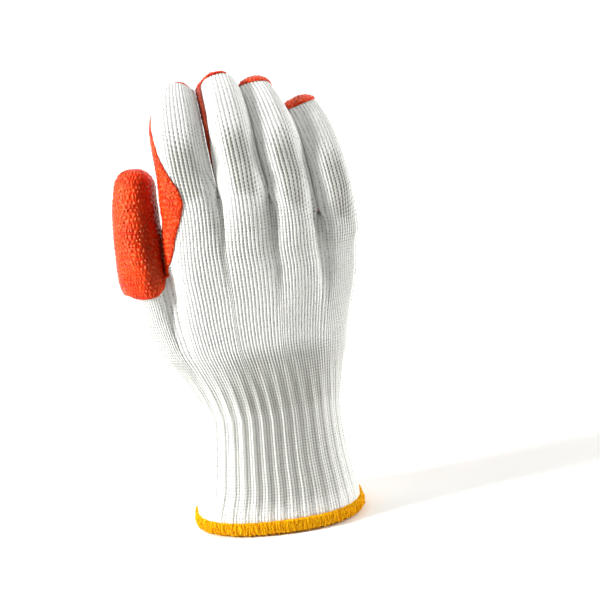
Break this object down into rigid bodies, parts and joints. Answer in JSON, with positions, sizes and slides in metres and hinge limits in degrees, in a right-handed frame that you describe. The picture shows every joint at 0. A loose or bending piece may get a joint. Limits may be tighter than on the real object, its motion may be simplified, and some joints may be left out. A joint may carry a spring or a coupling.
{
  "type": "latex coated grip glove",
  "caption": "Right-hand knitted work glove, filled as if worn, with a ribbed cuff, an overlocked hem and a latex coating on palm, thumb and fingertips.",
  "frame": {"origin": "centre of the wrist opening, at the lower edge of the hem", "axes": "+Z along the arm to the fingertips, -Y out of the back of the hand, +Y out of the palm, thumb towards -X"},
  "size_m": [0.1279, 0.0744, 0.2361],
  "materials": {
    "string_knit": "undyed white cotton and polyester string, seamless plain knit",
    "rib_knit": "the same white string over elastic, knitted as a rib",
    "overlock_thread": "golden yellow overlocking thread",
    "crinkle_latex": "red-orange dipped latex, glossy, with raised dots and a crinkle"
  },
  "bodies": {
    "root": {"hand_body": "string_knit", "thumb": "string_knit", "index_finger": "string_knit", "middle_finger": "string_knit", "ring_finger": "string_knit", "little_finger": "string_knit", "rib_cuff": "rib_knit", "hem": "overlock_thread", "latex_coating": "crinkle_latex"}
  },
  "joints": []
}
